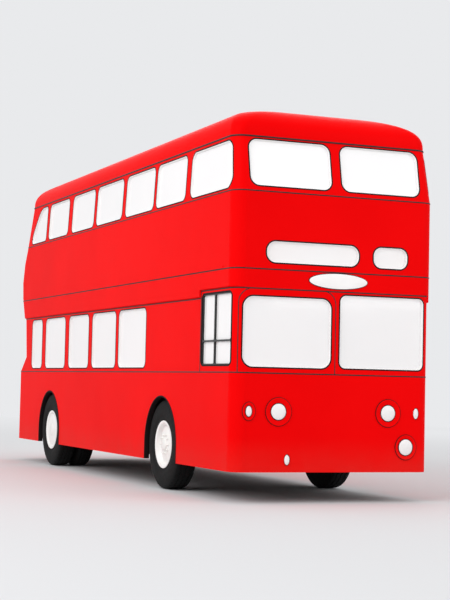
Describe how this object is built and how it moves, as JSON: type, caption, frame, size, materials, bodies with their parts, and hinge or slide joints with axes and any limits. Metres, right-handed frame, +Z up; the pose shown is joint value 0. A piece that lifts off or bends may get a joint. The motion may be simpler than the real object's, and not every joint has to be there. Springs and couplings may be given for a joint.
{
  "type": "double-decker bus",
  "caption": "Full-size red rear-engined double-decker bus with folding entrance doors, glazed decks, seats and stairs, steered front wheels, engine cover and emergency exit.",
  "frame": {"origin": "on the ground, under the middle of the bounding box", "axes": "+Z up, front towards -Y, offside (driver's side) towards -X, nearside with the entrance doors towards +X"},
  "size_m": [2.5, 9.14, 4.4486],
  "materials": {
    "red_paint": "gloss coach enamel",
    "chassis_paint": "satin black chassis paint",
    "wheel_paint": "gloss white enamel",
    "window_glass": "clear safety glass",
    "display_glass": "opal white glass",
    "lamp_white": "clear lens over a bright reflector",
    "lamp_red": "red lens",
    "tyre": "black rubber",
    "engine_iron": "painted cast iron",
    "floor_lino": "ribbed floor covering",
    "interior_panel": "satin cream interior paint",
    "seat_cloth": "wool moquette",
    "black_plastic": "black hard plastic",
    "black_frame": "black window frame"
  },
  "bodies": {
    "root": {"bench_seats": "seat_cloth", "cab_partition": "interior_panel", "cab_side": "red_paint", "cab_window_frame": "black_frame", "chassis_members": "chassis_paint", "chassis_rails": "chassis_paint", "dashboard": "black_plastic", "display_glass": "display_glass", "driver_seat": "seat_cloth", "engine_bay": "red_paint", "engine_block": "engine_iron", "floor_lower": "floor_lino", "floor_upper": "floor_lino", "front_axle": "chassis_paint", "front_lamps": "lamp_white", "fuel_tank": "chassis_paint", "glass_cab": "window_glass", "glass_lower_deck": "window_glass", "glass_upper_deck": "window_glass", "leaf_springs": "chassis_paint", "lower_front": "red_paint", "lower_rear": "red_paint", "lower_side_nearside": "red_paint", "lower_side_offside": "red_paint", "rear_axle": "chassis_paint", "rear_bulkhead": "interior_panel", "rear_lamps": "lamp_red", "roof": "red_paint", "seats_lower": "seat_cloth", "seats_upper": "seat_cloth", "staircase": "floor_lino", "steering_wheel": "black_plastic", "upper_front": "red_paint", "upper_rear": "red_paint", "upper_side_nearside": "red_paint", "upper_side_offside": "red_paint", "wheel_housings": "floor_lino"},
    "engine_cover": {"engine_cover": "red_paint"},
    "emergency_window": {"emergency_window": "red_paint", "emergency_glass": "window_glass"},
    "knuckle_offside": {"knuckle_offside": "chassis_paint"},
    "front_wheel_offside": {"front_wheel_offside": "wheel_paint", "front_tyre_offside": "tyre"},
    "rear_wheel_offside": {"rear_wheel_offside": "wheel_paint", "rear_tyre_offside": "tyre"},
    "knuckle_nearside": {"knuckle_nearside": "chassis_paint"},
    "front_wheel_nearside": {"front_wheel_nearside": "wheel_paint", "front_tyre_nearside": "tyre"},
    "rear_wheel_nearside": {"rear_wheel_nearside": "wheel_paint", "rear_tyre_nearside": "tyre"},
    "door_front_lead": {"door_front_lead": "red_paint"},
    "door_front_trail": {"door_front_trail": "red_paint"},
    "door_rear_lead": {"door_rear_lead": "red_paint"},
    "door_rear_trail": {"door_rear_trail": "red_paint"}
  },
  "joints": [
    {"name": "engine_cover_hinge", "type": "hinge", "parent": "root", "child": "engine_cover", "pos_m": [0, 4.29116, 1.607], "axis": [1, 0, 0], "range_deg": [0, 70]},
    {"name": "emergency_window_hinge", "type": "hinge", "parent": "root", "child": "emergency_window", "pos_m": [0, 4.03519, 3.982], "axis": [1, 0, 0], "range_deg": [0, 80]},
    {"name": "steer_offside", "type": "hinge", "parent": "root", "child": "knuckle_offside", "pos_m": [-1, -2.275, 0.54], "axis": [0, 0, 1], "range_deg": [-35, 35]},
    {"name": "front_wheel_offside_spin", "type": "hinge", "parent": "knuckle_offside", "child": "front_wheel_offside", "pos_m": [-1.045, -2.275, 0.54], "axis": [1, 0, 0], "continuous": true},
    {"name": "rear_wheel_offside_spin", "type": "hinge", "parent": "root", "child": "rear_wheel_offside", "pos_m": [-0.905, 2.675, 0.54], "axis": [1, 0, 0], "continuous": true},
    {"name": "steer_nearside", "type": "hinge", "parent": "root", "child": "knuckle_nearside", "pos_m": [1, -2.275, 0.54], "axis": [0, 0, 1], "range_deg": [-35, 35]},
    {"name": "front_wheel_nearside_spin", "type": "hinge", "parent": "knuckle_nearside", "child": "front_wheel_nearside", "pos_m": [1.045, -2.275, 0.54], "axis": [1, 0, 0], "continuous": true},
    {"name": "rear_wheel_nearside_spin", "type": "hinge", "parent": "root", "child": "rear_wheel_nearside", "pos_m": [0.905, 2.675, 0.54], "axis": [1, 0, 0], "continuous": true},
    {"name": "door_front_lead_hinge", "type": "hinge", "parent": "root", "child": "door_front_lead", "pos_m": [1.172, -4.266, 1.295], "axis": [0, 0, 1], "range_deg": [0, 80]},
    {"name": "door_front_trail_hinge", "type": "hinge", "parent": "door_front_lead", "child": "door_front_trail", "pos_m": [1.207, -3.9755, 1.295], "axis": [0, 0, 1], "range_deg": [-160, 0]},
    {"name": "door_rear_lead_hinge", "type": "hinge", "parent": "root", "child": "door_rear_lead", "pos_m": [1.172, -3.094, 1.295], "axis": [0, 0, -1], "range_deg": [0, 80]},
    {"name": "door_rear_trail_hinge", "type": "hinge", "parent": "door_rear_lead", "child": "door_rear_trail", "pos_m": [1.207, -3.3845, 1.295], "axis": [0, 0, -1], "range_deg": [-160, 0]}
  ],
  "couplings": [
    {"joint": "steer_nearside", "follows": "steer_offside", "ratio": 1},
    {"joint": "door_front_trail_hinge", "follows": "door_front_lead_hinge", "ratio": -2},
    {"joint": "door_rear_trail_hinge", "follows": "door_rear_lead_hinge", "ratio": -2}
  ]
}
